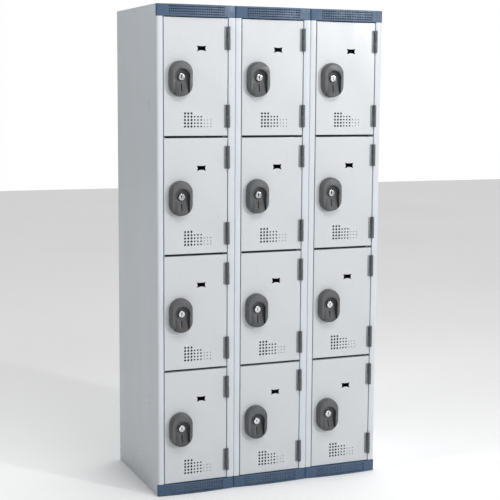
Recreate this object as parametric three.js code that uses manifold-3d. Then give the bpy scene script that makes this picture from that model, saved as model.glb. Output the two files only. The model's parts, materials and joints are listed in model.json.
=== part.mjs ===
// Coin operated locker: three columns of four compartments in folded sheet steel.
// Millimetres, +Z up, +X to the viewer's right, doors facing -Y.
// Origin: centre of the bounding box in X and Y, at floor level.
import * as THREE from 'three';
import { mergeVertices } from 'three/addons/utils/BufferGeometryUtils.js';
import Module from 'manifold-3d';

const wasm = await Module();
wasm.setup();

// ---- driving dimensions ----
const WIDTH = 900;
const DEPTH = 500;
const HEIGHT = 1800;
const COLUMNS = 3;
const ROWS = 4;
const COLUMN_PITCH = WIDTH / COLUMNS;
const DOOR_PITCH = 429.2;
const LOCK_PROUD = 28;
const FRONT_Y = -(DEPTH - LOCK_PROUD) / 2;
const BACK_Y = FRONT_Y + DEPTH;
const SHEET = 1;
const GAP = 0.3;

// carcass
const LEFT_STRIP = 23;
const RIGHT_STRIP = 27;
const STOP_SETBACK = 22;
const STOP_LIP = 12;
const CORNER_RADIUS = 9;
const SEAM_RADIUS = 4;
const FOOT_FLANGE = 30;
const BACK_FLANGE = 16;
const TRIM_HEIGHT = 43;
const TRIM_BOW = 8;
const TRIM_DEPTH = 12;
const TRIM_CORNER = 4;
const TRIM_WALL = 2;
const SHELF_FLANGE = 18;
const BASE_TOP = 45;

// doors
const DOOR_WIDTH = 244;
const DOOR_HEIGHT = 421;
const DOOR_DEPTH = 20;
const DOOR_LEFT = 26;
const DOOR_LIP = 14;
const PLATE_X = 169;
const PLATE_RISE = 101;
const PLATE_WIDTH = 37;
const PLATE_HEIGHT = 22;
const PLATE_SIDE_SHARE = 0.8;
const PLATE_TOP_SHARE = 0.8;
const PLATE_BOTTOM_SHARE = 0.5;

// hinges
const HINGE_X = 270.8;
const BARREL_RADIUS = 6;
const BARREL_LENGTH = 83;
const BARREL_SETOUT = 6.4;
const KNUCKLE_GAP = 0.6;
const BARREL_SIDES = 8;
const HINGE_RISE = 140;
const LEAF = 1.5;
const LEAF_WIDTH = 8;
const LEAF_REACH = 10;
const LEAF_ROOT = 2.5;

// locks
const LOCK_X = 87;
const LOCK_DROP = 6;
const LOCK_WIDTH = 86;
const LOCK_HEIGHT = 128;
const LOCK_BOX = { width: 72, height: 112, depth: 24 };
const LOCK_NECK = { width: 60, height: 100 };
const RECESS_RADIUS = 29;
const RECESS_DEPTH = 16;
const TONGUE_WIDTH = 56;
const TONGUE_TOP = -8;
const TONGUE_MOUTH = 3;
const BORE_RADIUS = 13.1;
const BORE_SIDES = 16;
const HOOD_SIDES = 16;
const HOOD_WALL_SHARE = 0.25;
const HOOD_SHOULDER = { radiusShare: 0.95, heightShare: 0.8 };
const HOOD_FACE_SHARE = 0.87;
const CYLINDER_RADIUS = 12.5;
const CYLINDER_PROUD = 20;
const SLOT = { width: 3.4, height: 28, floor: 12, overlap: 8 };
const KEYWAY = { width: 3.2, height: 12, depth: 5 };
const CAM = { length: 60, width: 16, thickness: 3, setback: 25.5 };

// ---- materials ----
const COLOURS = {
  carcass: [0xc3c8cc, 0.45, 0.15],
  doors: [0xd7dadd, 0.4, 0.1],
  trim: [0x455871, 0.5, 0.0],
  hood: [0x606266, 0.5, 0.0],
  cylinder: [0xb9bcc0, 0.25, 0.95],
};

function material(kind) {
  const [color, roughness, metalness] = COLOURS[kind];
  return new THREE.MeshStandardMaterial({ color, roughness, metalness });
}

const locker = new THREE.Group();

function place(name, geometry, kind, position = [0, 0, 0], parent = locker) {
  const mesh = new THREE.Mesh(geometry, material(kind));
  mesh.name = name;
  mesh.position.set(...position);
  parent.add(mesh);
  return mesh;
}

// ---- solids ----
function solid(geometry) {
  const bare = geometry.clone();
  bare.deleteAttribute('normal');
  bare.deleteAttribute('uv');
  const merged = mergeVertices(bare, 1e-4);
  return new wasm.Manifold(new wasm.Mesh({
    numProp: 3,
    vertProperties: new Float32Array(merged.attributes.position.array),
    triVerts: new Uint32Array(merged.index.array),
  }));
}

function geometryOf(manifold) {
  const mesh = manifold.getMesh();
  const geometry = new THREE.BufferGeometry();
  geometry.setAttribute('position', new THREE.BufferAttribute(new Float32Array(mesh.vertProperties), 3));
  geometry.setIndex(new THREE.BufferAttribute(new Uint32Array(mesh.triVerts), 1));
  geometry.computeVertexNormals();
  return geometry;
}

function join(pieces) {
  return geometryOf(pieces.map(solid).reduce((whole, piece) => whole.add(piece)));
}

function cut(body, tools) {
  return geometryOf(tools.map(solid).reduce((left, tool) => left.subtract(tool), solid(body)));
}

// Left-handed copy, with its faces still pointing out.
function mirrorX(geometry) {
  const mirrored = geometry.clone().scale(-1, 1, 1);
  const index = mirrored.index;
  for (let i = 0; i < index.count; i += 3) {
    const second = index.getX(i + 1);
    index.setX(i + 1, index.getX(i + 2));
    index.setX(i + 2, second);
  }
  mirrored.computeVertexNormals();
  return mirrored;
}

// Box between two corners.
function block(lo, hi) {
  const size = hi.map((value, i) => value - lo[i]);
  return new THREE.BoxGeometry(...size).translate(...lo.map((value, i) => value + size[i] / 2));
}

function extrude(points, depth) {
  const shape = new THREE.Shape(points.map(([x, y]) => new THREE.Vector2(x, y)));
  return new THREE.ExtrudeGeometry(shape, { depth, bevelEnabled: false });
}

// Plan outline in X and Y, extruded up from z0 to z1.
function upright(points, z0, z1) {
  return extrude(points, z1 - z0).translate(0, 0, z0);
}

// Outline in X and Z, extruded back from y0 to y1.
function facing(points, y0, y1) {
  return extrude(points, y1 - y0).rotateX(Math.PI / 2).translate(0, y1, 0);
}

// Outline in Y and Z, extruded across from x0 to x1.
function across(points, x0, x1) {
  const turned = new THREE.Matrix4().set(0, 0, 1, x0, 1, 0, 0, 0, 0, 1, 0, 0, 0, 0, 0, 1);
  return extrude(points, x1 - x0).applyMatrix4(turned);
}

// Upright round bar.
function post(radius, sides, x, y, z0, z1) {
  return new THREE.CylinderGeometry(radius, radius, z1 - z0, sides)
    .rotateX(Math.PI / 2).translate(x, y, (z0 + z1) / 2);
}

// Round bar from front to back.
function pin(radius, sides, y0, y1) {
  return new THREE.CylinderGeometry(radius, radius, y1 - y0, sides).translate(0, (y0 + y1) / 2, 0);
}

function arc(cx, cy, radius, from, to, steps) {
  return Array.from({ length: steps + 1 }, (_, i) => {
    const angle = from + (to - from) * i / steps;
    return [cx + radius * Math.cos(angle), cy + radius * Math.sin(angle)];
  });
}

function normal([ax, ay], [bx, by]) {
  const length = Math.hypot(bx - ax, by - ay);
  return [(ay - by) / length, (bx - ax) / length];
}

// Closed outline of a bent sheet: a path, and the same path one sheet thickness to its left.
function bentSheet(path) {
  const inner = path.map((point, i) => {
    const normals = [];
    if (i > 0) normals.push(normal(path[i - 1], point));
    if (i < path.length - 1) normals.push(normal(point, path[i + 1]));
    const x = normals.reduce((sum, n) => sum + n[0], 0);
    const y = normals.reduce((sum, n) => sum + n[1], 0);
    const reach = SHEET * normals.length / (x * x + y * y);
    return [point[0] + x * reach, point[1] + y * reach];
  });
  return [...path, ...inner.reverse()];
}

// ---- layout ----
const columnLeft = (column) => -WIDTH / 2 + COLUMN_PITCH * column;
const doorCentre = (row) => HEIGHT / 2 + DOOR_PITCH * ((ROWS - 1) / 2 - row);
const hingeMiddles = (centre) => [centre + HINGE_RISE, centre - HINGE_RISE];
const axisY = FRONT_Y - BARREL_SETOUT;
const wallTop = HEIGHT - SHEET - GAP;
const wallBack = BACK_Y - SHEET - GAP;
const deckFront = FRONT_Y + TRIM_DEPTH + GAP;
const deckBack = wallBack - SHEET - GAP;

// ---- carcass ----
// Wall with its front corner at x = 0, its strip running to +X, then a return and a door stop.
function foldedWall(strip, radius, bottom) {
  const path = [
    [0, wallBack],
    ...arc(radius, FRONT_Y + radius, radius, Math.PI, 1.5 * Math.PI, 3),
    [strip, FRONT_Y],
    [strip, FRONT_Y + STOP_SETBACK],
    [strip + STOP_LIP, FRONT_Y + STOP_SETBACK],
  ];
  const reach = strip + STOP_LIP + 1;
  return cut(upright(bentSheet(path), bottom, wallTop), [
    block([-1, FRONT_Y - 1, -1], [reach, deckFront, TRIM_HEIGHT + GAP]),
    block([SHEET, FRONT_Y - 1, -1], [reach, FRONT_Y + STOP_SETBACK + 2 * SHEET, BASE_TOP + GAP]),
    block([-1, FRONT_Y - 1, HEIGHT - TRIM_HEIGHT - GAP], [reach, deckFront, HEIGHT]),
  ]);
}

// Fixed halves of one column's hinges: the lower knuckle and its leaf on the strip.
function fixedHinges() {
  const middles = Array.from({ length: ROWS }, (_, row) => hingeMiddles(doorCentre(row))).flat();
  return middles.flatMap((middle) => {
    const low = middle - BARREL_LENGTH / 2;
    const high = middle - KNUCKLE_GAP / 2;
    return [
      post(BARREL_RADIUS, BARREL_SIDES, HINGE_X, axisY, low, high),
      block([HINGE_X + LEAF_ROOT, FRONT_Y - LEAF, low], [HINGE_X + LEAF_REACH, FRONT_Y + SHEET / 2, high]),
    ];
  });
}

function sidePanels() {
  const flange = block([0, wallBack - SHEET, 0], [BACK_FLANGE, wallBack, wallTop]);
  const left = join([foldedWall(LEFT_STRIP, CORNER_RADIUS, 0), flange]);
  place('left_side_panel', left, 'carcass', [columnLeft(0), 0, 0]);
  const right = mirrorX(join([foldedWall(RIGHT_STRIP, CORNER_RADIUS, 0), flange]));
  const hinged = join([right.translate(COLUMN_PITCH, 0, 0), ...fixedHinges()]);
  place('right_side_panel', hinged, 'carcass', [columnLeft(COLUMNS - 1), 0, 0]);
}

function partitions() {
  for (let column = 1; column < COLUMNS; column += 1) {
    const ahead = foldedWall(LEFT_STRIP, SEAM_RADIUS, BASE_TOP + GAP);
    const behind = mirrorX(foldedWall(RIGHT_STRIP, SEAM_RADIUS, BASE_TOP + GAP));
    const hinges = fixedHinges().map((piece) => piece.translate(-COLUMN_PITCH, 0, 0));
    place(`partition_${column}`, join([ahead, behind, ...hinges]), 'carcass', [columnLeft(column), 0, 0]);
  }
}

function outerPanels() {
  const back = block([-WIDTH / 2, BACK_Y - SHEET, 0], [WIDTH / 2, BACK_Y, wallTop]);
  place('back_panel', back, 'carcass');
  const top = block([-WIDTH / 2, deckFront, HEIGHT - SHEET], [WIDTH / 2, BACK_Y, HEIGHT]);
  place('top_panel', top, 'carcass');
}

// Channel that carries the columns: two feet on the floor, two risers and the bottom deck.
function basePanel() {
  const path = [
    [deckBack - FOOT_FLANGE, 0],
    [deckBack, 0],
    [deckBack, BASE_TOP],
    [deckFront, BASE_TOP],
    [deckFront, 0],
    [deckFront + FOOT_FLANGE, 0],
  ];
  const inset = SHEET + GAP;
  place('base_panel', across(bentSheet(path), inset - WIDTH / 2, WIDTH / 2 - inset), 'carcass');
}

// Shelf across one column: a deck with a deep front fold and a shallow back fold.
function shelves() {
  const frontY = FRONT_Y + STOP_SETBACK + SHEET + GAP;
  const outline = bentSheet([
    [deckBack, -SHELF_FLANGE / 2],
    [deckBack, 0],
    [frontY, 0],
    [frontY, -SHELF_FLANGE],
  ]);
  const inset = SHEET + GAP;
  for (let column = 0; column < COLUMNS; column += 1) {
    for (let row = 0; row < ROWS - 1; row += 1) {
      const level = (doorCentre(row) + doorCentre(row + 1)) / 2 + SHELF_FLANGE / 2;
      const shelf = across(outline, inset, COLUMN_PITCH - inset);
      place(`shelf_${column + 1}_${row + 1}`, shelf, 'carcass', [columnLeft(column), 0, level]);
    }
  }
}

// ---- trims ----
// Plan outline of one column's trim: a bowed face between two rounded ends, drawn in by inset.
function trimPlan(inset, backY) {
  const left = GAP / 2 + inset;
  const right = COLUMN_PITCH - GAP / 2 - inset;
  const corner = TRIM_CORNER - inset;
  const faceY = FRONT_Y + inset;
  const steps = 8;
  const bowed = Array.from({ length: steps - 1 }, (_, i) => {
    const share = (i + 1) / steps;
    const x = left + corner + (right - left - 2 * corner) * share;
    return [x, faceY - TRIM_BOW * 4 * share * (1 - share)];
  });
  return [
    [left, backY],
    ...arc(left + corner, faceY + corner, corner, Math.PI, 1.5 * Math.PI, 2),
    ...bowed,
    ...arc(right - corner, faceY + corner, corner, -0.5 * Math.PI, 0, 2),
    [right, backY],
  ];
}

function trims() {
  const shell = upright(trimPlan(0, FRONT_Y + TRIM_DEPTH), 0, TRIM_HEIGHT);
  const hollow = upright(trimPlan(TRIM_WALL, FRONT_Y + TRIM_DEPTH + 1), TRIM_WALL, TRIM_HEIGHT - TRIM_WALL);
  const trim = cut(shell, [hollow]);
  for (let column = 0; column < COLUMNS; column += 1) {
    place(`top_trim_${column + 1}`, trim, 'trim', [columnLeft(column), 0, HEIGHT - TRIM_HEIGHT]);
    place(`bottom_plinth_${column + 1}`, trim, 'trim', [columnLeft(column), 0, 0]);
  }
}

// ---- doors ----
// Number-plate cut-out: a rectangle with its four sides drawn in.
function plateOutline() {
  const w = PLATE_WIDTH / 2;
  const h = PLATE_HEIGHT / 2;
  const side = PLATE_SIDE_SHARE * w;
  const top = PLATE_TOP_SHARE * h;
  const bottom = PLATE_BOTTOM_SHARE * h;
  const outline = [
    [-w, -h],
    [-w / 2, -bottom],
    [w / 2, -bottom],
    [w, -h],
    [side, 0],
    [w, h],
    [w / 2, top],
    [-w / 2, top],
    [-w, h],
    [-side, 0],
  ];
  return outline.map(([x, z]) => [x + PLATE_X, z + PLATE_RISE]);
}

// Moving half of a hinge: a leaf on the door, and the upper knuckle joined to it.
function doorHinge(middle) {
  const low = middle - BARREL_LENGTH / 2;
  const high = middle + BARREL_LENGTH / 2;
  const clear = HINGE_X - BARREL_RADIUS - 2 * GAP;
  const faceDepth = FRONT_Y + SHEET / 2;
  return [
    block([clear - LEAF_WIDTH, FRONT_Y - LEAF, low], [clear, faceDepth, high]),
    block([clear - 1, FRONT_Y - LEAF, middle + KNUCKLE_GAP / 2], [HINGE_X - LEAF_ROOT, faceDepth, high]),
    post(BARREL_RADIUS, BARREL_SIDES, HINGE_X, axisY, middle + KNUCKLE_GAP / 2, high),
  ];
}

// Folded pan with its face at the front, seen with the door's centre at z = 0.
function door() {
  const right = DOOR_LEFT + DOOR_WIDTH;
  const half = DOOR_HEIGHT / 2;
  const rear = FRONT_Y + DOOR_DEPTH;
  const inside = half - SHEET;
  const pan = cut(block([DOOR_LEFT, FRONT_Y, -half], [right, rear, half]), [
    block([DOOR_LEFT + SHEET, FRONT_Y + SHEET, -inside], [right - SHEET, rear - SHEET, inside]),
    block([DOOR_LEFT + DOOR_LIP, rear - 2 * SHEET, -inside], [right - DOOR_LIP, rear + 1, inside]),
    lockNeck(GAP),
    facing(plateOutline(), FRONT_Y - 1, FRONT_Y + 2 * SHEET),
  ]);
  return join([pan, ...hingeMiddles(0).flatMap(doorHinge)]);
}

// ---- locks ----
function lockNeck(clearance) {
  const w = LOCK_NECK.width / 2 + clearance;
  const h = LOCK_NECK.height / 2 + clearance;
  const front = FRONT_Y - 2 * SHEET;
  const rear = FRONT_Y + 3 * SHEET;
  return block([LOCK_X - w, front, -LOCK_DROP - h], [LOCK_X + w, rear, -LOCK_DROP + h]);
}

// Round-ended hood: a turned blank pulled apart into a straight-sided oval, its foot just off the door.
function hoodBlank() {
  const half = LOCK_WIDTH / 2;
  const radius = half / Math.cos(Math.PI / HOOD_SIDES);
  const stretch = (LOCK_HEIGHT - LOCK_WIDTH) / 2;
  const profile = [
    [0, GAP],
    [radius, GAP],
    [radius, HOOD_WALL_SHARE * LOCK_PROUD],
    [HOOD_SHOULDER.radiusShare * radius, HOOD_SHOULDER.heightShare * LOCK_PROUD],
    [HOOD_FACE_SHARE * radius, LOCK_PROUD],
    [0, LOCK_PROUD],
  ];
  const points = profile.map(([x, y]) => new THREE.Vector2(x, y));
  const turned = new THREE.LatheGeometry(points, HOOD_SIDES).rotateY(Math.PI / HOOD_SIDES).rotateX(Math.PI);
  const position = turned.attributes.position;
  for (let i = 0; i < position.count; i += 1) {
    const z = position.getZ(i);
    if (Math.abs(z) > 1e-6) position.setZ(i, z + Math.sign(z) * stretch);
  }
  return turned.translate(0, FRONT_Y, -LOCK_DROP);
}

// Hood outside the door, neck through it and coin box behind it. The cylinder axis is at x = z = 0.
function lockCase() {
  const w = LOCK_BOX.width / 2;
  const h = LOCK_BOX.height / 2;
  const behind = FRONT_Y + SHEET + GAP;
  const coinBox = block([-w, behind, -LOCK_DROP - h], [w, behind + LOCK_BOX.depth, -LOCK_DROP + h]);
  const neck = lockNeck(0).translate(-LOCK_X, 0, 0);
  const outside = FRONT_Y - LOCK_PROUD - 1;
  const floorY = FRONT_Y - LOCK_PROUD + RECESS_DEPTH;
  const bottom = -LOCK_DROP - LOCK_HEIGHT / 2;
  const tongue = [
    [floorY, 0],
    [outside, 0],
    [outside, bottom - 1],
    [outside + TONGUE_MOUTH, bottom - 1],
    [floorY, TONGUE_TOP],
  ];
  const slotTop = SLOT.overlap - RECESS_RADIUS;
  const slotHalf = SLOT.width / 2;
  return cut(join([hoodBlank(), neck, coinBox]), [
    pin(RECESS_RADIUS, HOOD_SIDES, outside, floorY),
    across(tongue, -TONGUE_WIDTH / 2, TONGUE_WIDTH / 2),
    block([-slotHalf, outside, slotTop - SLOT.height], [slotHalf, FRONT_Y - SLOT.floor, slotTop]),
    pin(BORE_RADIUS, BORE_SIDES, FRONT_Y - LOCK_PROUD, FRONT_Y + LOCK_BOX.depth + 2 * SHEET),
  ]);
}

// Cylinder through the case with its keyway in front and its cam hanging behind, unlocked.
function lockCylinder() {
  const cylinderFront = FRONT_Y - CYLINDER_PROUD;
  const camFront = FRONT_Y + CAM.setback + GAP;
  const keyway = block(
    [-KEYWAY.width / 2, cylinderFront - 1, -KEYWAY.height / 2],
    [KEYWAY.width / 2, cylinderFront + KEYWAY.depth, KEYWAY.height / 2],
  );
  const barrel = cut(pin(CYLINDER_RADIUS, BORE_SIDES, cylinderFront, camFront + 1), [keyway]);
  const camHalf = CAM.width / 2;
  const cam = block([-camHalf, camFront, -CAM.length], [camHalf, camFront + CAM.thickness, camHalf]);
  return join([barrel, cam]);
}

function frontPieces() {
  for (let column = 0; column < COLUMNS; column += 1) {
    for (let row = 0; row < ROWS; row += 1) {
      const suffix = `${column + 1}_${row + 1}`;
      const corner = [columnLeft(column), 0, doorCentre(row)];
      const axis = [columnLeft(column) + LOCK_X, 0, doorCentre(row)];
      place(`door_${suffix}`, door(), 'doors', corner);
      place(`lock_case_${suffix}`, lockCase(), 'hood', axis);
      place(`lock_cylinder_${suffix}`, lockCylinder(), 'cylinder', axis);
    }
  }
}

sidePanels();
partitions();
outerPanels();
basePanel();
shelves();
trims();
frontPieces();

export default locker;
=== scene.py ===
"""Coin operated locker: fine pieces, finishes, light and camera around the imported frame."""

import json
import math

import bmesh
import bpy
from mathutils import Matrix, Vector


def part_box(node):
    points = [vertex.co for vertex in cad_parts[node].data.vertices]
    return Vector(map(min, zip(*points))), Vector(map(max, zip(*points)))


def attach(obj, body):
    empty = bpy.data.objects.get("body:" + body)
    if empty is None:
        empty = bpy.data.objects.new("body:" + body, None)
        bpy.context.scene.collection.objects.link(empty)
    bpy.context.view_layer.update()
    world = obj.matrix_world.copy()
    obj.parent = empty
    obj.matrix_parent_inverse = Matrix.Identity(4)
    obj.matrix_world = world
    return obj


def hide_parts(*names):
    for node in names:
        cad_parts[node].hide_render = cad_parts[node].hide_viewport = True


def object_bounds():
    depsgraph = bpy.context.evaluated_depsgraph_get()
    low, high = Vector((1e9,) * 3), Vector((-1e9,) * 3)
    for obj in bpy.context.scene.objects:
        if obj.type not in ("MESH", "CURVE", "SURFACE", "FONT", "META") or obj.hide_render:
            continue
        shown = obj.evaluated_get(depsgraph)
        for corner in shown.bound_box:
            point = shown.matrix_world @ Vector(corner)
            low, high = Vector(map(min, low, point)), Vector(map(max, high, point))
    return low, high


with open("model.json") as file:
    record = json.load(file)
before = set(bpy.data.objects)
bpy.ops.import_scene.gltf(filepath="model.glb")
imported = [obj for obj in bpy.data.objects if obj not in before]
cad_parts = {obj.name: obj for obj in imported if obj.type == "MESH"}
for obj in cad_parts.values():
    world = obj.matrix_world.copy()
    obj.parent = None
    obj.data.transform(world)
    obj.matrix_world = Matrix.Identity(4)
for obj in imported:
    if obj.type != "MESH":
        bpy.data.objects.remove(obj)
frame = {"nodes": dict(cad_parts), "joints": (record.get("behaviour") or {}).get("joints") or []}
cad_low, cad_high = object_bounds()
nodes = frame["nodes"]
joints = {joint["name"]: joint for joint in frame["joints"]}

MM = 0.001
SHEET = 1 * MM
GAP = 0.3 * MM
COLUMNS = 3
ROWS = 4
COLUMN_PITCH = 300 * MM
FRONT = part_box("left_side_panel")[0].y
WALL_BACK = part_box("left_side_panel")[1].y
TOP = cad_high.z
TRIM_HEIGHT = 43 * MM
STOP_SETBACK = 22 * MM
STOP_LIP = 12 * MM
LEFT_STRIP = 23 * MM
RIGHT_STRIP = 27 * MM
BARREL_RADIUS = 6 * MM
BARREL_LENGTH = 83 * MM
HINGE_RISE = 140 * MM
HINGE_X = 270.8 * MM
KNUCKLE_GAP = 0.6 * MM
BARREL_CLEARANCE = 0.4 * MM
LEAF_THICKNESS = 1.5 * MM
LEAF_WIDTH = 8 * MM
LEAF_ROOT = 2.5 * MM
LEAF_REACH = 10 * MM
BASE_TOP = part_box("base_panel")[1].z
WALL_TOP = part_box("left_side_panel")[1].z
DOOR_WIDTH = 244 * MM
DOOR_HEIGHT = 421 * MM
DOOR_DEPTH = 20 * MM
DOOR_LEFT = 26 * MM
DOOR_LIP = 14 * MM
PLATE_X = 169 * MM
PLATE_RISE = 101 * MM
PLATE_HALF_WIDTH = 18.5 * MM
PLATE_HALF_HEIGHT = 11 * MM
VENT_PITCH_X = 12.4 * MM
VENT_PITCH_Z = 11.8 * MM
VENT_LEFT = 106 * MM
VENT_TOP = -130 * MM
VENT_RADII = (4.0 * MM, 3.2 * MM, 1.9 * MM)
VENTS_PER_SIZE = 3
VENT_ROWS = 5
LOCK_DROP = 6 * MM


def column_left(column):
    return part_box("left_side_panel")[0].x + COLUMN_PITCH * column


def row_centre(row):
    low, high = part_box(f"door_1_{row + 1}")
    return (low.z + high.z) / 2


def places():
    """Column, row and name ending of every door."""
    return [(c, r, f"{c + 1}_{r + 1}") for c in range(COLUMNS) for r in range(ROWS)]


# ---- finishes ----
class Finish:
    """One procedural material, built node by node."""

    def __init__(self, name):
        self.material = bpy.data.materials.new(name)
        self.material.use_nodes = True
        self.tree = self.material.node_tree
        self.shader = self.tree.nodes["Principled BSDF"]
        self.coords = self.tree.nodes.new("ShaderNodeTexCoord").outputs["Object"]
        info = self.tree.nodes.new("ShaderNodeObjectInfo")
        shift = self.tree.nodes.new("ShaderNodeVectorMath")
        shift.operation = "SCALE"
        shift.inputs[0].default_value = (7.0, 3.0, 5.0)
        self.tree.links.new(info.outputs["Random"], shift.inputs["Scale"])
        moved = self.tree.nodes.new("ShaderNodeVectorMath")
        self.tree.links.new(self.coords, moved.inputs[0])
        self.tree.links.new(shift.outputs[0], moved.inputs[1])
        self.place = moved.outputs[0]

    def stretched(self, scale):
        mapping = self.tree.nodes.new("ShaderNodeMapping")
        mapping.inputs["Scale"].default_value = scale
        self.tree.links.new(self.place, mapping.inputs["Vector"])
        return mapping.outputs[0]

    def noise(self, scale, detail=3.0, stretch=None):
        node = self.tree.nodes.new("ShaderNodeTexNoise")
        node.inputs["Scale"].default_value = scale
        node.inputs["Detail"].default_value = detail
        source = self.stretched(stretch) if stretch else self.place
        self.tree.links.new(source, node.inputs["Vector"])
        return node.outputs["Fac"]

    def ramp(self, fac, stops):
        node = self.tree.nodes.new("ShaderNodeValToRGB")
        self.tree.links.new(fac, node.inputs["Fac"])
        ramp = node.color_ramp
        while len(ramp.elements) < len(stops):
            ramp.elements.new(0.5)
        for element, (position, value) in zip(ramp.elements, stops):
            element.position = position
            shade = value if isinstance(value, tuple) else (value,) * 3
            element.color = (*shade, 1.0)
        return node.outputs["Color"]

    def multiply(self, first, second, amount=1.0):
        node = self.tree.nodes.new("ShaderNodeMix")
        node.data_type = "RGBA"
        node.blend_type = "MULTIPLY"
        node.inputs["Factor"].default_value = amount
        self.tree.links.new(first, node.inputs["A"])
        self.tree.links.new(second, node.inputs["B"])
        return node.outputs["Result"]

    def colour(self, source):
        self.tree.links.new(source, self.shader.inputs["Base Color"])

    def roughness(self, source):
        self.tree.links.new(source, self.shader.inputs["Roughness"])

    def bump(self, layers):
        """Each layer is (height, depth in metres); later layers ride on earlier ones."""
        below = None
        for height, depth in layers:
            node = self.tree.nodes.new("ShaderNodeBump")
            node.inputs["Distance"].default_value = depth
            self.tree.links.new(height, node.inputs["Height"])
            if below:
                self.tree.links.new(below, node.inputs["Normal"])
            below = node.outputs["Normal"]
        self.tree.links.new(below, self.shader.inputs["Normal"])


def shaded(colour, factor):
    return tuple(channel * factor for channel in colour)


def paint(name, colour, gloss):
    """Powder-coated steel: slight mottling, orange peel, faint rubbed patches and hairlines."""
    finish = Finish(name)
    broad = finish.ramp(finish.noise(1.4, 3.0), [(0.25, shaded(colour, 0.975)), (0.75, colour)])
    fine = finish.ramp(finish.noise(160.0, 5.0), [(0.35, 0.975), (0.65, 1.0)])
    wear = finish.ramp(finish.noise(30.0, 8.0, (1.0, 1.0, 0.25)), [(0.28, 0.94), (0.36, 1.0)])
    finish.colour(finish.multiply(finish.multiply(broad, fine), wear, 0.5))
    rubbed = finish.noise(9.0, 6.0, (1.0, 1.0, 0.4))
    finish.roughness(finish.ramp(rubbed, [(0.3, gloss - 0.06), (0.7, gloss + 0.08)]))
    peel = finish.noise(420.0, 2.0)
    hairline = finish.noise(90.0, 6.0, (6.0, 6.0, 0.3))
    finish.bump([(peel, 0.00006), (hairline, 0.00002)])
    finish.shader.inputs["Coat Weight"].default_value = 0.25
    finish.shader.inputs["Coat Roughness"].default_value = 0.12
    return finish.material


def moulded(name, colour, gloss, grain):
    """Moulded plastic with a fine grain, faint flow marks and polished patches."""
    finish = Finish(name)
    dark, pale = shaded(colour, 0.82), shaded(colour, 1.12)
    flow = finish.ramp(finish.noise(16.0, 5.0, (1.0, 1.0, 0.5)), [(0.3, dark), (0.7, pale)])
    specks = finish.ramp(finish.noise(700.0, 2.0), [(0.35, 0.85), (0.6, 1.0)])
    finish.colour(finish.multiply(flow, specks, 0.7))
    finish.roughness(finish.ramp(finish.noise(40.0, 6.0), [(0.3, gloss - 0.08), (0.7, gloss + 0.1)]))
    finish.bump([(finish.noise(grain, 3.0), 0.00012), (finish.noise(60.0, 4.0), 0.00008)])
    return finish.material


def plated(name, colour, gloss, metallic=1.0):
    """Plated or bare metal with turning marks and small pits."""
    finish = Finish(name)
    tone = finish.ramp(finish.noise(120.0, 6.0), [(0.3, shaded(colour, 0.8)), (0.7, colour)])
    finish.colour(tone)
    finish.roughness(finish.ramp(finish.noise(300.0, 6.0), [(0.3, gloss), (0.75, gloss + 0.14)]))
    finish.bump([(finish.noise(1500.0, 2.0, (1.0, 0.1, 1.0)), 0.00002), (finish.noise(200.0, 5.0), 0.00003)])
    finish.shader.inputs["Metallic"].default_value = metallic
    return finish.material


PANEL = paint("panel_paint", (0.59, 0.63, 0.665), 0.42)
DOOR = paint("door_paint", (0.565, 0.585, 0.605), 0.36)
TRIM = moulded("trim_plastic", (0.046, 0.090, 0.165), 0.42, 900.0)
HOOD = moulded("hood_plastic", (0.092, 0.094, 0.098), 0.42, 800.0)
# Darker copy of the hood plastic: painted shade for the recess and tongue inside each lock's ring.
HOOD_PAINTED_SHADE = moulded("hood_recess_painted_shade", (0.060, 0.061, 0.064), 0.5, 800.0)
CHROME = plated("lock_metal", (0.78, 0.79, 0.81), 0.10)
# Hinge knuckles: the dark base colour is partly the metal's own tone and partly painted shade for the gap
# the barrels stand in.
HINGE_METAL_AND_SHADE = plated("hinge_metal_and_painted_shade", (0.120, 0.130, 0.138), 0.40, 0.5)
LEAF_GREY = plated("hinge_leaf", (0.27, 0.285, 0.30), 0.42, 0.3)
# Black plastic: the side plugs' own colour, and painted shade on the strips behind the door gaps and inside
# the keyways.
BLACK = moulded("black_plug_and_painted_shade", (0.012, 0.012, 0.013), 0.5, 900.0)


# ---- mesh helpers ----
def smooth(mesh, angle=32):
    mesh.shade_smooth()
    mesh.set_sharp_from_angle(angle=math.radians(angle))


def mesh_from(name, verts, faces):
    mesh = bpy.data.meshes.new(name)
    mesh.from_pydata(verts, [], faces)
    bm = bmesh.new()
    bm.from_mesh(mesh)
    bmesh.ops.remove_doubles(bm, verts=bm.verts, dist=1e-6)
    bmesh.ops.recalc_face_normals(bm, faces=bm.faces)
    bm.to_mesh(mesh)
    bm.free()
    return mesh


def joined(name, meshes):
    bm = bmesh.new()
    for mesh in meshes:
        bm.from_mesh(mesh)
    whole = bpy.data.meshes.new(name)
    bm.to_mesh(whole)
    bm.free()
    return whole


def moved(mesh, matrix):
    copy = mesh.copy()
    copy.transform(matrix)
    if matrix.determinant() < 0:
        copy.flip_normals()
    return copy


def shifted(mesh, x=0.0, y=0.0, z=0.0):
    return moved(mesh, Matrix.Translation((x, y, z)))


def piece(name, mesh, body, material, at=(0.0, 0.0, 0.0), angle=32):
    mesh.materials.clear()
    mesh.materials.append(material)
    smooth(mesh, angle)
    obj = bpy.data.objects.new(name, mesh)
    bpy.context.scene.collection.objects.link(obj)
    obj.location = at
    bpy.context.view_layer.update()
    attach(obj, body)
    return obj


def cuboid(lo, hi):
    corners = [(x, y, z) for x in (lo[0], hi[0]) for y in (lo[1], hi[1]) for z in (lo[2], hi[2])]
    faces = [(0, 1, 3, 2), (4, 6, 7, 5), (0, 4, 5, 1), (2, 3, 7, 6), (0, 2, 6, 4), (1, 5, 7, 3)]
    return mesh_from("cuboid", corners, faces)


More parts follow.
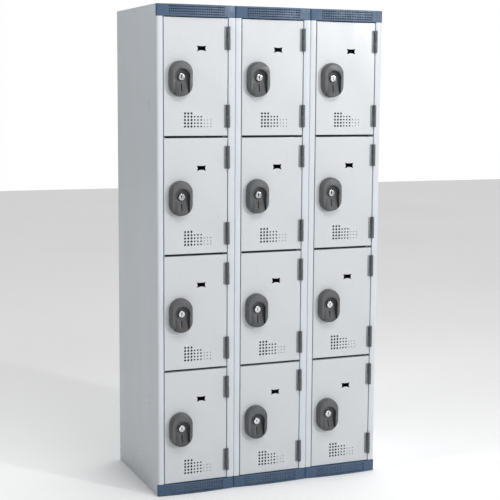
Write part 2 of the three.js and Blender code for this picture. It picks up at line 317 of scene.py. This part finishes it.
def lathe(profile, segments=32):
    """Closed solid turned about Z. The profile is (radius, z), starting and ending on the axis."""
    verts, faces, rings = [], [], []
    for radius, z in profile:
        if radius < 1e-7:
            rings.append([len(verts)] * segments)
            verts.append((0.0, 0.0, z))
            continue
        rings.append(list(range(len(verts), len(verts) + segments)))
        for i in range(segments):
            angle = 2 * math.pi * i / segments
            verts.append((radius * math.cos(angle), radius * math.sin(angle), z))
    for lower, upper in zip(rings, rings[1:]):
        for i in range(segments):
            j = (i + 1) % segments
            face = list(dict.fromkeys((lower[i], lower[j], upper[j], upper[i])))
            if len(face) > 2:
                faces.append(face)
    return mesh_from("lathe", verts, faces)


def prism(outline, lo, hi):
    """Outline of (x, y) points, extruded from z = lo to hi."""
    count = len(outline)
    verts = [(x, y, lo) for x, y in outline] + [(x, y, hi) for x, y in outline]
    faces = [tuple(range(count)), tuple(range(count, 2 * count))]
    faces += [(i, (i + 1) % count, count + (i + 1) % count, count + i) for i in range(count)]
    return mesh_from("prism", verts, faces)


def facing(mesh):
    """Turns a mesh drawn in X and Y, so that it stands in X and Z and its +Z side faces the front."""
    return moved(mesh, Matrix.Rotation(math.radians(90), 4, "X"))


def arc(cx, cy, radius, start, end, steps):
    angles = [start + (end - start) * i / steps for i in range(steps + 1)]
    return [(cx + radius * math.cos(a), cy + radius * math.sin(a)) for a in angles]


def inset_path(path, thickness):
    """The same path, moved to its left by a sheet's thickness."""
    inner = []
    for i, point in enumerate(path):
        normals = []
        for first, second in ((i - 1, i), (i, i + 1)):
            if first < 0 or second >= len(path):
                continue
            step = (Vector(path[second]) - Vector(path[first])).normalized()
            normals.append(Vector((-step.y, step.x)))
        total = sum(normals, Vector((0.0, 0.0)))
        inner.append(tuple(Vector(point) + total * (thickness * len(normals) / total.length_squared)))
    return inner


def bent_sheet(path, lo, hi):
    """Sheet folded along a path seen from above, from z = lo to hi."""
    return prism(path + inset_path(path, SHEET)[::-1], lo, hi)


def boolean(mesh, cutters):
    """Mesh with the cutters taken out of it."""
    base = bpy.data.objects.new("work", mesh)
    bpy.context.scene.collection.objects.link(base)
    tools = []
    for cutter in cutters:
        tool = bpy.data.objects.new("tool", cutter)
        bpy.context.scene.collection.objects.link(tool)
        modifier = base.modifiers.new("cut", "BOOLEAN")
        modifier.operation = "DIFFERENCE"
        modifier.solver = "EXACT"
        modifier.object = tool
        tools.append(tool)
    result = bpy.data.meshes.new_from_object(base.evaluated_get(bpy.context.evaluated_depsgraph_get()))
    for obj in [base, *tools]:
        bpy.data.objects.remove(obj)
    return result


def bevelled(mesh, width, segments=2, angle=35):
    obj = bpy.data.objects.new("work", mesh)
    bpy.context.scene.collection.objects.link(obj)
    modifier = obj.modifiers.new("bevel", "BEVEL")
    modifier.width = width
    modifier.segments = segments
    modifier.limit_method = "ANGLE"
    modifier.angle_limit = math.radians(angle)
    modifier.use_clamp_overlap = True
    result = bpy.data.meshes.new_from_object(obj.evaluated_get(bpy.context.evaluated_depsgraph_get()))
    bpy.data.objects.remove(obj)
    return result


def pierced_sheet(outline, holes, thickness):
    """Flat sheet with holes, standing in X and Z with its front face at y = 0."""
    curve = bpy.data.curves.new("sheet", "CURVE")
    curve.dimensions = "2D"
    curve.fill_mode = "BOTH"
    curve.extrude = thickness / 2
    for loop in [outline, *holes]:
        spline = curve.splines.new("POLY")
        spline.points.add(len(loop) - 1)
        for point, (x, y) in zip(spline.points, loop):
            point.co = (x, y, 0.0, 1.0)
        spline.use_cyclic_u = True
    obj = bpy.data.objects.new("sheet", curve)
    bpy.context.scene.collection.objects.link(obj)
    mesh = bpy.data.meshes.new_from_object(obj.evaluated_get(bpy.context.evaluated_depsgraph_get()))
    bpy.data.objects.remove(obj)
    bm = bmesh.new()
    bm.from_mesh(mesh)
    bmesh.ops.remove_doubles(bm, verts=bm.verts, dist=1e-6)
    bmesh.ops.recalc_face_normals(bm, faces=bm.faces)
    bm.to_mesh(mesh)
    bm.free()
    return shifted(facing(mesh), y=thickness / 2)


def circle(x, y, radius, segments=14):
    angles = [2 * math.pi * i / segments for i in range(segments)]
    return [(x + radius * math.cos(a), y + radius * math.sin(a)) for a in angles]


def rectangle(x0, y0, x1, y1):
    return [(x0, y0), (x1, y0), (x1, y1), (x0, y1)]


# ---- carcass ----
def folded_wall(strip, radius, bottom):
    """Wall with its front corner at x = 0: rounded corner, strip, return and door stop."""
    bend = 1.6 * MM
    front = FRONT
    path = [(0.0, WALL_BACK)]
    path += arc(radius, front + radius, radius, math.pi, 1.5 * math.pi, 8)
    path += arc(strip - bend, front + bend, bend, -0.5 * math.pi, 0.0, 4)
    path += [(strip, front + STOP_SETBACK), (strip + STOP_LIP, front + STOP_SETBACK)]
    clear = front + 12.3 * MM
    reach = strip + 2 * STOP_LIP
    cutters = [
        cuboid((-MM, front - MM, -MM), (reach, clear, TRIM_HEIGHT + GAP)),
        cuboid((-MM, front - MM, TOP - TRIM_HEIGHT - GAP), (reach, clear, TOP + MM)),
    ]
    if bottom < BASE_TOP:
        behind_stop = front + STOP_SETBACK + 2 * SHEET
        cutters.append(cuboid((SHEET, front - MM, -MM), (reach, behind_stop, BASE_TOP + GAP)))
    return boolean(bent_sheet(path, bottom, WALL_TOP), cutters)


def mirrored(mesh):
    return moved(mesh, Matrix.Scale(-1, 4, (1, 0, 0)))


HOLE_RADIUS = 3.0 * MM
PLUG_RADIUS = 2.8 * MM
PLUG_HEIGHT = 0.5 * MM
PLUG_INSET = 0.01 * MM
TOP_HOLE_DEPTH = 272 * MM
TOP_HOLE_HEIGHT = 1789 * MM
FOOT_HOLE_DEPTH = 275 * MM
FOOT_HOLE_HEIGHT = 102 * MM
UPPER_PAIR_DEPTH = 94 * MM
UPPER_PAIR_HEIGHT = 1449 * MM
UPPER_PAIR_SPACING = 13 * MM
LOWER_PAIR_DEPTH = 103 * MM
LOWER_PAIR_HEIGHT = 357 * MM
LOWER_PAIR_SPACING = 24 * MM


def joining_holes():
    """Depth behind the front and height of every joining hole in an outer side."""
    return [
        (TOP_HOLE_DEPTH, TOP_HOLE_HEIGHT),
        (UPPER_PAIR_DEPTH, UPPER_PAIR_HEIGHT),
        (UPPER_PAIR_DEPTH, UPPER_PAIR_HEIGHT - UPPER_PAIR_SPACING),
        (LOWER_PAIR_DEPTH, LOWER_PAIR_HEIGHT),
        (LOWER_PAIR_DEPTH, LOWER_PAIR_HEIGHT - LOWER_PAIR_SPACING),
        (FOOT_HOLE_DEPTH, FOOT_HOLE_HEIGHT),
    ]


def drilled(wall):
    """Outer wall with its joining holes."""
    drill = lathe([(0.0, -MM), (HOLE_RADIUS, -MM), (HOLE_RADIUS, 3 * MM), (0.0, 3 * MM)], 16)
    turn = Matrix.Rotation(math.radians(90), 4, "Y")
    return boolean(wall, [moved(drill, Matrix.Translation((0, FRONT + depth, height)) @ turn)
                          for depth, height in joining_holes()])


def side_panels():
    flange = cuboid((0.6 * SHEET, WALL_BACK - SHEET, 0.0), (16 * MM, WALL_BACK, WALL_TOP))
    left = joined("left_side", [drilled(folded_wall(LEFT_STRIP, 9 * MM, 0.0)), flange])
    right = joined("right_side", [drilled(folded_wall(RIGHT_STRIP, 9 * MM, 0.0)), flange])
    panel = piece("left_side_sheet", left, "carcass", PANEL, (column_left(0), 0, 0))
    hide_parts("left_side_panel")
    at = (column_left(COLUMNS), 0, 0)
    panel = piece("right_side_sheet", mirrored(right), "carcass", PANEL, at)
    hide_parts("right_side_panel")


def gap_shade_strips():
    """Black strip on each shelf's front fold, which the doors above and below close towards: a dark sheet
    put there as painted shade, so the gaps between doors look dark.
    """
    thick = 1.4 * MM
    low_x, high_x = LEFT_STRIP + STOP_LIP + 2 * MM, COLUMN_PITCH - RIGHT_STRIP - STOP_LIP - 2 * MM
    for column in range(COLUMNS):
        for row in range(ROWS - 1):
            shelf_low, shelf_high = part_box(f"shelf_{column + 1}_{row + 1}")
            front = shelf_low.y - 0.05 * MM
            blank = cuboid((low_x, front - thick, shelf_low.z + MM), (high_x, front, shelf_high.z - MM))
            strip = bevelled(blank, 0.4 * MM)
            name = f"buffer_{column + 1}_{row + 1}"
            piece(name, strip, "carcass", BLACK, (column_left(column), 0, 0))


def partitions():
    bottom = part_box("partition_1")[0].z
    ahead = folded_wall(LEFT_STRIP, 4 * MM, bottom)
    behind = mirrored(folded_wall(RIGHT_STRIP, 4 * MM, bottom))
    mesh = joined("partition", [ahead, behind])
    for column in range(1, COLUMNS):
        at = (column_left(column), 0, 0)
        panel = piece(f"partition_sheet_{column}", mesh, "carcass", PANEL, at)
        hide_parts(f"partition_{column}")


def rivet_mesh(radius, height):
    """Low domed head, standing on z = 0."""
    profile = [(0.0, 0.0), (radius, 0.0), (radius, 0.25 * height)]
    profile += [(radius * math.cos(a), height * (0.25 + 0.75 * math.sin(a))) for a in (0.4, 0.8, 1.2)]
    return lathe(profile + [(0.0, height)], 16)


def side_fixings():
    """Dark joining plugs in both outer sides."""
    plug = moved(rivet_mesh(PLUG_RADIUS, PLUG_HEIGHT), Matrix.Rotation(math.radians(-90), 4, "Y"))
    inward = shifted(plug, x=PLUG_HEIGHT + PLUG_INSET)
    for side, mesh in (("left", inward), ("right", mirrored(inward))):
        x = column_left(0) if side == "left" else column_left(COLUMNS)
        for i, (depth, height) in enumerate(joining_holes()):
            at = (x, FRONT + depth, height)
            piece(f"{side}_plug_{i + 1}", mesh, "carcass", BLACK, at)


def softened_nodes():
    """Finish and rounded edges on the carcass sheets that stay as they are."""
    for name, obj in nodes.items():
        if name.startswith(("back_", "top_panel", "base_", "shelf_")):
            obj.data.materials.clear()
            obj.data.materials.append(PANEL)
            modifier = obj.modifiers.new("edge", "BEVEL")
            modifier.width = 0.25 * MM
            modifier.segments = 2
            modifier.limit_method = "ANGLE"


# ---- trims ----
def ring_cell(verts, faces, x, z, width, height, radius, place):
    """One cell of pierced sheet: eight border points round a hole of sixteen."""
    half_w, half_h = width / 2, height / 2
    border = [(half_w, 0), (half_w, half_h), (0, half_h), (-half_w, half_h),
              (-half_w, 0), (-half_w, -half_h), (0, -half_h), (half_w, -half_h)]
    start = len(verts)
    verts.extend(place(x + dx, z + dz) for dx, dz in border)
    verts.extend(place(x + dx, z + dz) for dx, dz in circle(0, 0, radius, 16))
    for i in range(8):
        j = (i + 1) % 8
        a, b, c = (start + 8 + (2 * i + k) % 16 for k in range(3))
        faces.append((start + i, b, a))
        faces.append((start + i, start + j, b))
        faces.append((start + j, c, b))


def trim_mesh():
    """Bowed, pierced cover with rounded ends and closed top and bottom."""
    width = COLUMN_PITCH - GAP
    corner = 4 * MM
    bow = 8 * MM
    depth = 12 * MM
    span = width - 2 * corner

    def place(x, z):
        share = (x - corner) / span
        return (x + GAP / 2, FRONT - bow * 4 * share * (1 - share), z)

    cell_w, cell_h, hole = 7.1 * MM, 8.8 * MM, 2.5 * MM
    columns, rows = 30, 4
    field_left = (width - columns * cell_w) / 2
    field_low = (TRIM_HEIGHT - rows * cell_h) / 2
    verts, faces = [], []
    half = cell_w / 2
    for row in range(rows):
        z = field_low + cell_h * (row + 0.5)
        for column in range(columns):
            x = field_left + cell_w * (column + 0.5)
            ring_cell(verts, faces, x, z, cell_w, cell_h, hole, place)
    edge = 1.5 * MM
    levels = [edge, field_low]
    levels += [field_low + cell_h * (i + 1) / 2 for i in range(2 * rows)]
    levels += [TRIM_HEIGHT - edge]
    steps = 2 * columns
    plain_xs = [corner + (field_left - corner) * i / 6 for i in range(7)]
    field_xs = [field_left + half * i for i in range(steps + 1)]
    right_xs = [width - x for x in reversed(plain_xs)]

    def patch(xs, zs):
        for x0, x1 in zip(xs, xs[1:]):
            for z0, z1 in zip(zs, zs[1:]):
                start = len(verts)
                verts.extend([place(x0, z0), place(x1, z0), place(x1, z1), place(x0, z1)])
                faces.append(tuple(range(start, start + 4)))

    patch(plain_xs, levels)
    patch(right_xs, levels)
    patch(field_xs, levels[:2])
    patch(field_xs, levels[-2:])

    plan = [(GAP / 2, FRONT + depth)]
    plan += arc(corner + GAP / 2, FRONT + corner, corner, math.pi, 1.5 * math.pi, 5)
    plan_face = [place(x, 0)[:2] for x in plain_xs[1:] + field_xs[1:] + right_xs[1:-1]]
    mirror_end = [(COLUMN_PITCH - x, y) for x, y in reversed(plan)]
    plan = plan + plan_face + mirror_end
    inner = inset_path(plan, edge)
    ends = [(0, 6), (len(plan) - 7, len(plan) - 1)]
    for first, last in ends:
        for i in range(first, last):
            for z0, z1 in zip(levels, levels[1:]):
                start = len(verts)
                (xa, ya), (xb, yb) = plan[i], plan[i + 1]
                verts.extend([(xa, ya, z0), (xb, yb, z0), (xb, yb, z1), (xa, ya, z1)])
                faces.append(tuple(range(start, start + 4)))
    for level, end_z in ((edge, 0.0), (TRIM_HEIGHT - edge, TRIM_HEIGHT)):
        turn = 4
        loops = []
        for k in range(turn + 1):
            angle = 0.5 * math.pi * k / turn
            share = 1 - math.cos(angle)
            z = level + (end_z - level) * math.sin(angle)
            loops.append([(x + (xi - x) * share, y + (yi - y) * share, z)
                          for (x, y), (xi, yi) in zip(plan, inner)])
        loops.append([(x, FRONT + depth, end_z) for x, _ in inner])
        for lower, upper in zip(loops, loops[1:]):
            for i in range(len(plan) - 1):
                start = len(verts)
                verts.extend([lower[i], lower[i + 1], upper[i + 1], upper[i]])
                faces.append(tuple(range(start, start + 4)))
    shell = mesh_from("trim", verts, faces)
    obj = bpy.data.objects.new("work", shell)
    bpy.context.scene.collection.objects.link(obj)
    modifier = obj.modifiers.new("wall", "SOLIDIFY")
    modifier.thickness = 1.8 * MM
    modifier.offset = -1
    result = bpy.data.meshes.new_from_object(obj.evaluated_get(bpy.context.evaluated_depsgraph_get()))
    bpy.data.objects.remove(obj)
    return result


def trims():
    mesh = trim_mesh()
    for column in range(COLUMNS):
        for name in ("top_trim", "bottom_plinth"):
            node = f"{name}_{column + 1}"
            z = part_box(node)[0].z
            at = (column_left(column), 0, z)
            cover = piece(f"{node}_cover", mesh, "carcass", TRIM, at, 40)
            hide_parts(node)


# ---- doors ----
def plate_outline():
    """Number-plate cut-out: four drawn-in sides that meet in blunt corners."""
    w, h = PLATE_HALF_WIDTH, PLATE_HALF_HEIGHT
    corners = [(-w, -h), (w, -h), (w, h), (-w, h)]
    draws = [(0.0, 0.5 * h), (-0.2 * w, 0.0), (0.0, -0.2 * h), (0.2 * w, 0.0)]
    blunt, steps = 0.06, 8
    points = []
    for i, (corner, draw) in enumerate(zip(corners, draws)):
        following = corners[(i + 1) % 4]
        for step in range(steps + 1):
            t = blunt + (1 - 2 * blunt) * step / steps
            push = 4 * t * (1 - t)
            points.append((corner[0] + (following[0] - corner[0]) * t + draw[0] * push,
                           corner[1] + (following[1] - corner[1]) * t + draw[1] * push))
    return [(x + PLATE_X, y + PLATE_RISE) for x, y in points]


def vent_holes():
    """Straight grid of vents in three sizes, the largest on the lock side."""
    holes = []
    for column in range(VENTS_PER_SIZE * len(VENT_RADII)):
        size = column // VENTS_PER_SIZE
        radius = VENT_RADII[size]
        for row in range(size, VENT_ROWS):
            x = VENT_LEFT + VENT_PITCH_X * column
            holes.append(circle(x, VENT_TOP - VENT_PITCH_Z * row, radius))
    return holes


def door_mesh():
    """Folded pan with rounded edges; x from the column's left edge and z from the door's centre."""
    bend = 2 * MM
    half = DOOR_HEIGHT / 2
    right = DOOR_LEFT + DOOR_WIDTH
    outline = rectangle(DOOR_LEFT + bend, -half + bend, right - bend, half - bend)
    neck = rectangle(56.7 * MM, -56.3 * MM, 117.3 * MM, 44.3 * MM)
    face = shifted(pierced_sheet(outline, [neck, plate_outline(), *vent_holes()], SHEET), y=FRONT)
    section = [(bend - bend * math.sin(a), bend - bend * math.cos(a)) for a in
               (0.5 * math.pi * i / 6 for i in range(7))]
    section += [(0.0, DOOR_DEPTH - bend), (0.4 * MM, DOOR_DEPTH - 0.6 * MM)]
    section += [(1.4 * MM, DOOR_DEPTH), (DOOR_LIP, DOOR_DEPTH)]
    section += [(DOOR_LIP, DOOR_DEPTH - SHEET), (2.2 * MM, DOOR_DEPTH - SHEET), (SHEET, DOOR_DEPTH - bend)]
    section += [(bend - (bend - SHEET) * math.cos(a), bend - (bend - SHEET) * math.sin(a)) for a in
                (0.5 * math.pi * i / 4 for i in range(5))]
    verts, faces = [], []
    for inward, depth in section:
        x0, x1 = DOOR_LEFT + inward, right - inward
        z0, z1 = -half + inward, half - inward
        y = FRONT + depth
        verts.extend([(x0, y, z0), (x1, y, z0), (x1, y, z1), (x0, y, z1)])
    count = len(section)
    for i in range(count):
        j = (i + 1) % count
        for k in range(4):
            m = (k + 1) % 4
            faces.append((4 * i + k, 4 * i + m, 4 * j + m, 4 * j + k))
    rim = mesh_from("rim", verts, faces)
    return joined("door_panel", [face, rim])


def doors():
    mesh = door_mesh()
    for column, row, ending in places():
        at = (column_left(column), 0, row_centre(row))
        panel = piece(f"door_panel_{ending}", mesh, f"door_{ending}", DOOR, at)
        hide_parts(f"door_{ending}")


# ---- hinges ----
def knuckle_mesh(length):
    bevel = 0.7 * MM
    r = BARREL_RADIUS
    profile = [(0.0, 0.0), (r - bevel, 0.0), (r - 0.2 * MM, 0.25 * bevel), (r, bevel)]
    profile += [(radius, length - z) for radius, z in reversed(profile)]
    return lathe(profile, 32)


def leaf_mesh(x0, x1, z0, z1):
    """Hinge leaf with rounded corners, flat on the sheet."""
    radius = 2 * MM
    outline = []
    for cx, cz, start in ((x1 - radius, z1 - radius, 0), (x0 + radius, z1 - radius, 90),
                          (x0 + radius, z0 + radius, 180), (x1 - radius, z0 + radius, 270)):
        outline += arc(cx, cz, radius, math.radians(start), math.radians(start + 90), 4)
    plate = facing(prism(outline, 0.0, LEAF_THICKNESS))
    return bevelled(plate, 0.35 * MM)


def hinges():
    """Every hinge: the lower knuckle and its leaf stay on the strip, the upper one goes with the door."""
    gap = KNUCKLE_GAP
    length = (BARREL_LENGTH - gap) / 2
    low, high = -BARREL_LENGTH / 2, BARREL_LENGTH / 2
    knuckle = knuckle_mesh(length)
    clear = -BARREL_RADIUS - 2 * GAP
    setout = BARREL_RADIUS + BARREL_CLEARANCE
    wing = shifted(leaf_mesh(clear - LEAF_WIDTH, clear, low, high), y=setout)
    blank = cuboid((clear - 2 * MM, -LEAF_THICKNESS, gap / 2), (-LEAF_ROOT, 0, high - MM))
    tongue = shifted(bevelled(blank, 0.3 * MM), y=setout)
    fixed_leaf = shifted(leaf_mesh(LEAF_ROOT, LEAF_REACH, low, -gap / 2), y=setout)
    door_leaf = joined("door_leaf", [wing, tongue])
    for column, row, ending in places():
        x = column_left(column) + HINGE_X
        y = FRONT - setout
        for label, rise in (("upper", HINGE_RISE), ("lower", -HINGE_RISE)):
            z = row_centre(row) + rise
            door = f"door_{ending}"
            name = f"hinge_{ending}_{label}"
            # The knuckles' dark metal is partly painted shade.
            piece(f"{name}_door_knuckle", knuckle, door, HINGE_METAL_AND_SHADE, (x, y, z + gap / 2))
            piece(f"{name}_door_leaf", door_leaf, door, LEAF_GREY, (x, y, z))
            piece(f"{name}_fixed_knuckle", knuckle, "carcass", HINGE_METAL_AND_SHADE, (x, y, z + low))
            piece(f"{name}_fixed_leaf", fixed_leaf, "carcass", LEAF_GREY, (x, y, z))


# ---- locks ----
HOOD_RADIUS = 43 * MM
HOOD_STRAIGHT = 21 * MM
HOOD_PROUD = 28 * MM
RECESS_RADIUS = 29 * MM
RECESS_FLOOR = 12 * MM
TONGUE_HALF = 25 * MM
CHANNEL_HALF = 28 * MM
BORE_RADIUS = 13.1 * MM


def oval(radius, segments=96):
    """Round-ended outline about the hood's middle."""
    points = []
    for i in range(segments):
        angle = 2 * math.pi * (i + 0.5) / segments
        rise = HOOD_STRAIGHT if angle < math.pi else -HOOD_STRAIGHT
        points.append((radius * math.cos(angle), radius * math.sin(angle) + rise))
    return points


def hood_blank():
    """Hood with a straight foot and a rounded shoulder, before its recess is cut. Front is +Z here."""
    foot = 7 * MM
    shoulder = 6.5 * MM
    profile = [(0.0, GAP), (0.0, foot)]
    for i in range(1, 13):
        angle = 0.5 * math.pi * i / 12
        profile.append((shoulder * (1 - math.cos(angle)), foot + (HOOD_PROUD - foot) * math.sin(angle)))
    count = 96
    verts, faces = [], []
    for inward, height in profile:
        verts.extend((x, y, height) for x, y in oval(HOOD_RADIUS - inward, count))
    for ring in range(len(profile) - 1):
        for i in range(count):
            j = (i + 1) % count
            lower, upper = ring * count, (ring + 1) * count
            faces.append((lower + i, lower + j, upper + j, upper + i))
    faces.append(tuple(range(count)))
    faces.append(tuple((len(profile) - 1) * count + i for i in range(count)))
    return shifted(mesh_from("hood", verts, faces), y=-LOCK_DROP)


def hood_mesh():
    """Horseshoe ring round a recess, a tongue that ramps down and forward, and the coin slot."""
    above = HOOD_PROUD + 2 * MM
    end = -75 * MM
    tongue_top = -10 * MM
    bowl = [(0.0, RECESS_FLOOR), (RECESS_RADIUS - MM, RECESS_FLOOR)]
    bowl += [(RECESS_RADIUS, RECESS_FLOOR + MM), (RECESS_RADIUS + 0.6 * MM, above), (0.0, above)]
    recess = lathe(bowl, 72)
    keep = cuboid((-TONGUE_HALF, end, RECESS_FLOOR - MM), (TONGUE_HALF, tongue_top, above + MM))
    ramp = [(tongue_top, RECESS_FLOOR), (end, HOOD_PROUD - 2 * MM)]
    ramp += [(end, above), (tongue_top + 3 * MM, above)]
    turn = Matrix(((0, 0, 1, 0), (1, 0, 0, 0), (0, 1, 0, 0), (0, 0, 0, 1)))
    ramp_cut = moved(prism(ramp, -TONGUE_HALF - 0.1 * MM, TONGUE_HALF + 0.1 * MM), turn)
    grooves = [cuboid((x0, end, RECESS_FLOOR), (x1, -MM, above))
               for x0, x1 in ((TONGUE_HALF, CHANNEL_HALF), (-CHANNEL_HALF, -TONGUE_HALF))]
    open_ring = boolean(hood_blank(), [ramp_cut, *grooves, boolean(recess, [keep])])
    slot = cuboid((-1.7 * MM, -52 * MM, 3 * MM), (1.7 * MM, -24 * MM, above))
    bore = lathe([(0.0, -MM), (BORE_RADIUS, -MM), (BORE_RADIUS, above), (0.0, above)], 48)
    return shifted(facing(bevelled(boolean(open_ring, [slot, bore]), 0.7 * MM, 2, 30)), y=FRONT)


def paint_hood_recess_shade(mesh):
    """Painted shade on a hood: everything inside its ring gets the darker copy of the hood plastic."""
    mesh.materials.append(HOOD_PAINTED_SHADE)
    for face in mesh.polygons:
        x, y, z = face.center
        inside = math.hypot(x, z) < RECESS_RADIUS + 0.4 * MM or (abs(x) < CHANNEL_HALF + 0.1 * MM and z < 0)
        if inside and FRONT + GAP - HOOD_PROUD + MM < y:
            face.material_index = 1


def coin_box_mesh():
    """Coin box behind the door, with its lid line and its coin-return mouth."""
    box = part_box("lock_case_1_1")
    behind = FRONT + SHEET + GAP
    half_w, half_h = 36 * MM, 56 * MM
    body = cuboid((-half_w, behind, -LOCK_DROP - half_h), (half_w, box[1].y, -LOCK_DROP + half_h))
    body = bevelled(body, 3 * MM, 3)
    bore = moved(lathe([(0.0, -MM), (BORE_RADIUS, -MM), (BORE_RADIUS, 40 * MM), (0.0, 40 * MM)], 48),
                 Matrix.Translation((0, FRONT + 40 * MM, 0)) @ Matrix.Rotation(math.radians(90), 4, "X"))
    rear = box[1].y
    mouth = bevelled(cuboid((-20 * MM, rear - 14 * MM, -57 * MM), (20 * MM, rear + MM, -43 * MM)), 2 * MM, 2)
    seam_low = (-half_w - MM, rear - 5 * MM, -LOCK_DROP - half_h - MM)
    seam = cuboid(seam_low, (half_w + MM, rear - 4.4 * MM, -40 * MM))
    return boolean(body, [bore, mouth, seam])


def cylinder_mesh():
    """Lock cylinder: a polished collar round a sunk core with its keyway. Its axis is along Z here."""
    face = 20 * MM
    back = -26.8 * MM
    core = 8.6 * MM
    r = 12.5 * MM
    profile = [(0.0, back), (r - 0.5 * MM, back), (r, back + 0.5 * MM), (r, face - 2.2 * MM)]
    edge = 2.2 * MM
    profile += [(r - edge * (1 - math.cos(a)), face - edge * (1 - math.sin(a)))
                for a in (0.4, 0.8, 1.2, 1.57)]
    profile += [(core + 0.6 * MM, face), (core, face - 0.6 * MM), (core, face - 1.6 * MM),
                (core - 0.5 * MM, face - 1.2 * MM), (0.0, face - 1.2 * MM)]
    key = cuboid((-1.6 * MM, -6 * MM, face - 7 * MM), (1.6 * MM, 6 * MM, face + MM))
    wide = cuboid((-2.4 * MM, 1.0 * MM, face - 7 * MM), (2.4 * MM, 4.0 * MM, face + MM))
    return shifted(facing(boolean(lathe(profile, 64), [key, wide])), y=FRONT)


def paint_keyway_shade(mesh):
    """Painted shade: the inside of the keyway, which no light reaches, gets the black finish."""
    mesh.materials.append(BLACK)
    for face in mesh.polygons:
        x, y, z = face.center
        if FRONT - 18 * MM < y < FRONT - 12 * MM and math.hypot(x, z) < 8 * MM:
            face.material_index = 1


def cam_mesh():
    """Cam with rounded ends, behind the coin box and hanging down."""
    front = FRONT + 25.8 * MM
    w = 8 * MM
    outline = arc(0, 0, w, 0, math.pi, 16) + arc(0, -52 * MM, w, math.pi, 2 * math.pi, 16)
    plate = bevelled(facing(prism(outline, -3 * MM, 0.0)), 0.4 * MM)
    return shifted(plate, y=front)


def locks():
    hood, coin_box, cylinder, cam = hood_mesh(), coin_box_mesh(), cylinder_mesh(), cam_mesh()
    for _, row, ending in places():
        axis = Vector(joints[f"lock_turn_{ending}"]["pos_m"])
        at = (axis.x, 0, row_centre(row))
        shell = piece(f"lock_hood_{ending}", hood, f"door_{ending}", HOOD, at)
        box = piece(f"coin_box_{ending}", coin_box, f"door_{ending}", HOOD, at)
        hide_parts(f"lock_case_{ending}")
        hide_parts(f"lock_case_{ending}")
        barrel = piece(f"cylinder_{ending}", cylinder, f"lock_{ending}", CHROME, at)
        arm = piece(f"cam_{ending}", cam, f"lock_{ending}", CHROME, at)
        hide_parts(f"lock_cylinder_{ending}")
        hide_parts(f"lock_cylinder_{ending}")
    paint_hood_recess_shade(hood)
    paint_keyway_shade(cylinder)


# ---- studio ----
def floor_and_backdrop():
    finish = Finish("studio")
    finish.colour(finish.ramp(finish.noise(0.7, 2.0), [(0.3, 0.93), (0.7, 0.95)]))
    finish.shader.inputs["Roughness"].default_value = 0.9
    reach = 14.0
    corners = [(x, y, 0) for x, y in rectangle(-reach, -reach, reach, reach)]
    mesh = mesh_from("studio", corners, [(0, 1, 2, 3)])
    mesh.materials.append(finish.material)
    floor = bpy.data.objects.new("studio_floor", mesh)
    bpy.context.scene.collection.objects.link(floor)


def lamp(name, position, target, size, watts):
    data = bpy.data.lights.new(name, "AREA")
    data.shape = "RECTANGLE"
    data.size, data.size_y = size
    data.energy = watts
    obj = bpy.data.objects.new(name, data)
    bpy.context.scene.collection.objects.link(obj)
    obj.location = position
    obj.rotation_euler = (Vector(target) - Vector(position)).to_track_quat("-Z", "Y").to_euler()


def lights():
    """Pale surroundings, dimmer on the left and before the doors, with a key lamp at the right front."""
    world = bpy.data.worlds.new("studio_light")
    bpy.context.scene.world = world
    world.use_nodes = True
    tree = world.node_tree
    direction = tree.nodes.new("ShaderNodeTexCoord").outputs["Generated"]
    split = tree.nodes.new("ShaderNodeSeparateXYZ")
    tree.links.new(direction, split.inputs[0])
    level = None
    for axis, (start, end), (low, high) in (("X", (-0.5, 0.2), (0.07, 1.0)),
                                            ("Y", (-0.15, 0.35), (0.72, 1.12)),
                                            ("Z", (0.25, 0.9), (1.0, 1.5))):
        ramp = tree.nodes.new("ShaderNodeMapRange")
        ramp.inputs["From Min"].default_value = start
        ramp.inputs["From Max"].default_value = end
        ramp.inputs["To Min"].default_value = low
        ramp.inputs["To Max"].default_value = high
        tree.links.new(split.outputs[axis], ramp.inputs["Value"])
        if level:
            product = tree.nodes.new("ShaderNodeMath")
            product.operation = "MULTIPLY"
            tree.links.new(level, product.inputs[0])
            tree.links.new(ramp.outputs["Result"], product.inputs[1])
            level = product.outputs[0]
        else:
            level = ramp.outputs["Result"]
    tree.links.new(level, tree.nodes["Background"].inputs["Color"])
    tree.nodes["Background"].inputs["Strength"].default_value = 0.90
    lamp("key", (3.1, -5.0, 2.4), (0.0, -0.2, 1.1), (0.3, 0.3), 110)
    lamp("high", (0.2, -2.3, 3.3), (0.0, -0.2, 1.5), (1.4, 0.8), 32)
    lamp("left_graze", (-2.6, -0.6, 2.7), (-0.4, 0.0, 1.7), (0.5, 0.5), 22)


CAMERA_PLACE = (-1.7853, -4.3664, 1.4841)
CAMERA_YAW = 22.336
CAMERA_PITCH = 7.35
CAMERA_ROLL = 0.365
CAMERA_LENS = 87.02


def camera():
    """Camera aimed yaw degrees to the right of +Y and pitch degrees down, turned by roll degrees."""
    data = bpy.data.cameras.new("camera")
    obj = bpy.data.objects.new("camera", data)
    bpy.context.scene.collection.objects.link(obj)
    data.sensor_width = 36
    data.lens = CAMERA_LENS
    data.clip_end = 50
    yaw, pitch, roll = (math.radians(a) for a in (CAMERA_YAW, CAMERA_PITCH, CAMERA_ROLL))
    forward = Vector((math.sin(yaw) * math.cos(pitch), math.cos(yaw) * math.cos(pitch), -math.sin(pitch)))
    level = Vector((math.cos(yaw), -math.sin(yaw), 0.0))
    upward = level.cross(forward)
    right = math.cos(roll) * level + math.sin(roll) * upward
    up = -math.sin(roll) * level + math.cos(roll) * upward
    turn = Matrix((right, up, -forward)).transposed().to_4x4()
    obj.matrix_world = Matrix.Translation(CAMERA_PLACE) @ turn
    bpy.context.scene.camera = obj


side_panels()
partitions()
gap_shade_strips()
side_fixings()
softened_nodes()
trims()
doors()
hinges()
locks()
floor_and_backdrop()
lights()
camera()
bpy.context.scene.view_settings.view_transform = "Standard"

bpy.context.view_layer.update()
